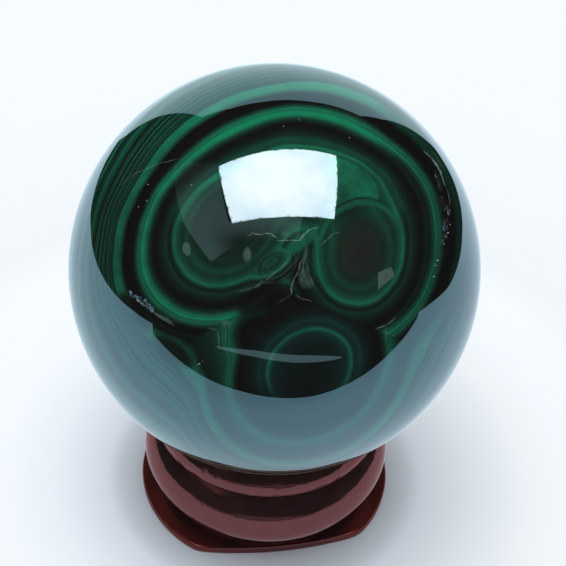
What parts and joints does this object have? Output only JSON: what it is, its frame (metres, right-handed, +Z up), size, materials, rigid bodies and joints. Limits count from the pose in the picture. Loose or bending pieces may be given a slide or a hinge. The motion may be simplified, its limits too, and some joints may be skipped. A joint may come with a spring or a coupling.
{
  "type": "decorative sphere",
  "caption": "Polished banded malachite ball resting in the ring of a small turned, lacquered wooden stand with a thin round base plate.",
  "frame": {"origin": "centre of the stand's underside, on the common axis of the ball and the stand", "axes": "+Z up along the axis that the ball and the stand share, -Y towards the front, where the base plate has its one flat, +X to the right"},
  "size_m": [0.05, 0.05, 0.0629],
  "materials": {
    "malachite": "mirror-polished malachite, near-black green with lighter green bands and eyes",
    "lacquered_wood": "glossy dark red-brown lacquer over turned wood, with tool marks"
  },
  "bodies": {
    "root": {"malachite_ball": "malachite", "wooden_stand": "lacquered_wood"}
  },
  "joints": []
}
